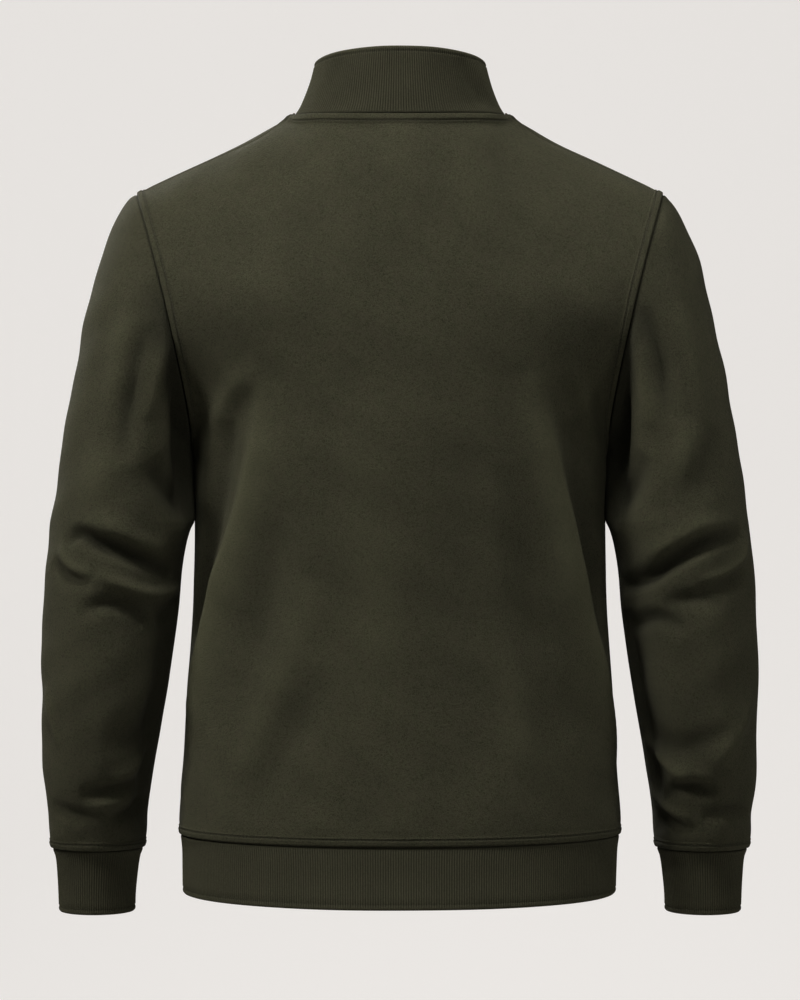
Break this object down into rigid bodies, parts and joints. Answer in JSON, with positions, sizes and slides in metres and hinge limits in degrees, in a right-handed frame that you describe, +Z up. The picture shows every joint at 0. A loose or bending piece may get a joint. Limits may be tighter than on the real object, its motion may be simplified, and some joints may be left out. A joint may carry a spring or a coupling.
{
  "type": "quarter zip sweater",
  "caption": "Worn long-sleeved sweater in brushed fleece with a stand-up rib collar, rib cuffs and hem band, and a short front zip.",
  "frame": {"origin": "middle of the neck opening, level with the neck seam at the centre back, where the wearer's neck holds the garment up", "axes": "+Z up, the wearer faces -Y, +X is the wearer's left"},
  "size_m": [0.627, 0.2609, 0.7518],
  "materials": {
    "fleece": "dark olive fleece, brushed to a short matte nap",
    "rib": "dark olive rib knit, matte",
    "zip_tape": "dark olive woven tape",
    "zip_metal": "dark gunmetal, satin"
  },
  "bodies": {
    "garment": {"back_panel": "fleece", "front_panel": "fleece", "sleeve_left": "fleece", "sleeve_right": "fleece", "collar": "rib", "hem_band": "rib", "cuff_left": "rib", "cuff_right": "rib", "zip_tape_left": "zip_tape", "zip_tape_right": "zip_tape", "zip_chain": "zip_metal", "zip_slider": "zip_metal", "zip_stop": "zip_metal"},
    "pull_tab": {"zip_pull": "zip_metal"}
  },
  "joints": [
    {"name": "pull_swing", "type": "hinge", "parent": "garment", "child": "pull_tab", "pos_m": [0, -0.07573, 0.00406], "axis": [-1, 0, 0], "range_deg": [0, 170]}
  ]
}
